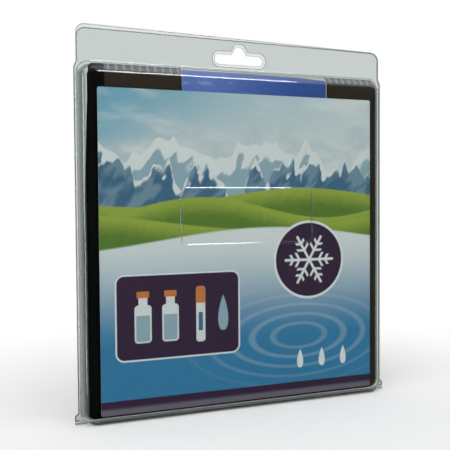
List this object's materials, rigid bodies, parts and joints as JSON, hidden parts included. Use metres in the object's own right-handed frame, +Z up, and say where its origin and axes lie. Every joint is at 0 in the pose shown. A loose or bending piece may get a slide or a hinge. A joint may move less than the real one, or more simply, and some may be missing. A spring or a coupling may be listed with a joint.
{
  "type": "insulin cooling case",
  "caption": "Soft black evaporative cooling wallet for insulin, shut in a clear hinged hang pack with a printed card and a leaflet.",
  "frame": {"origin": "under the middle of the pack, on the surface that it stands on", "axes": "+Z up, the printed front faces -Y, +X to the right as seen from the front"},
  "size_m": [0.186, 0.008, 0.2071],
  "materials": {
    "clear_sheet": "clear, glossy formed sheet",
    "card_print": "coated print, sky to deep blue with a green band",
    "leaflet_print": "printed, folded",
    "cover_cloth": "matt woven cloth",
    "pouch_cloth": "matt woven cloth",
    "binding_cloth": "woven edge tape",
    "closing_tape": "hook and loop pile",
    "label_cloth": "plain woven satin",
    "gel_crystal": "dry grains"
  },
  "bodies": {
    "front": {"front_shell": "clear_sheet", "hinge_web": "clear_sheet", "front_card": "card_print", "instruction_leaflet": "leaflet_print", "cover_front_panel": "cover_cloth", "cover_back_panel": "cover_cloth", "cover_mouth_fold": "cover_cloth", "cover_gusset_left": "binding_cloth", "cover_gusset_right": "binding_cloth", "cover_gusset_bottom": "binding_cloth", "cover_loop_tape": "closing_tape", "pouch_front_outer_ply": "pouch_cloth", "pouch_front_inner_ply": "pouch_cloth", "pouch_back_inner_ply": "pouch_cloth", "pouch_back_outer_ply": "pouch_cloth", "pouch_binding_left": "binding_cloth", "pouch_binding_right": "binding_cloth", "pouch_binding_bottom": "binding_cloth", "front_gel_row_1": "gel_crystal", "front_gel_row_2": "gel_crystal", "front_gel_row_3": "gel_crystal", "front_gel_row_4": "gel_crystal", "front_gel_row_5": "gel_crystal", "back_gel_row_1": "gel_crystal", "back_gel_row_2": "gel_crystal", "back_gel_row_3": "gel_crystal", "back_gel_row_4": "gel_crystal", "back_gel_row_5": "gel_crystal"},
    "lid": {"rear_shell": "clear_sheet"},
    "flap": {"cover_flap": "cover_cloth", "flap_hook_tape": "closing_tape", "flap_label": "label_cloth"}
  },
  "joints": [
    {"name": "lid_hinge", "type": "hinge", "parent": "front", "child": "lid", "pos_m": [0, 0.00337, 0.00065], "axis": [-1, 0, 0], "range_deg": [0, 90]},
    {"name": "flap_hinge", "type": "hinge", "parent": "front", "child": "flap", "pos_m": [0, 0.00282, 0.1833], "axis": [1, 0, 0], "range_deg": [0, 150]}
  ],
  "couplings": [
    {"joint": "flap_hinge", "follows": "lid_hinge", "ratio": 1.6666}
  ]
}
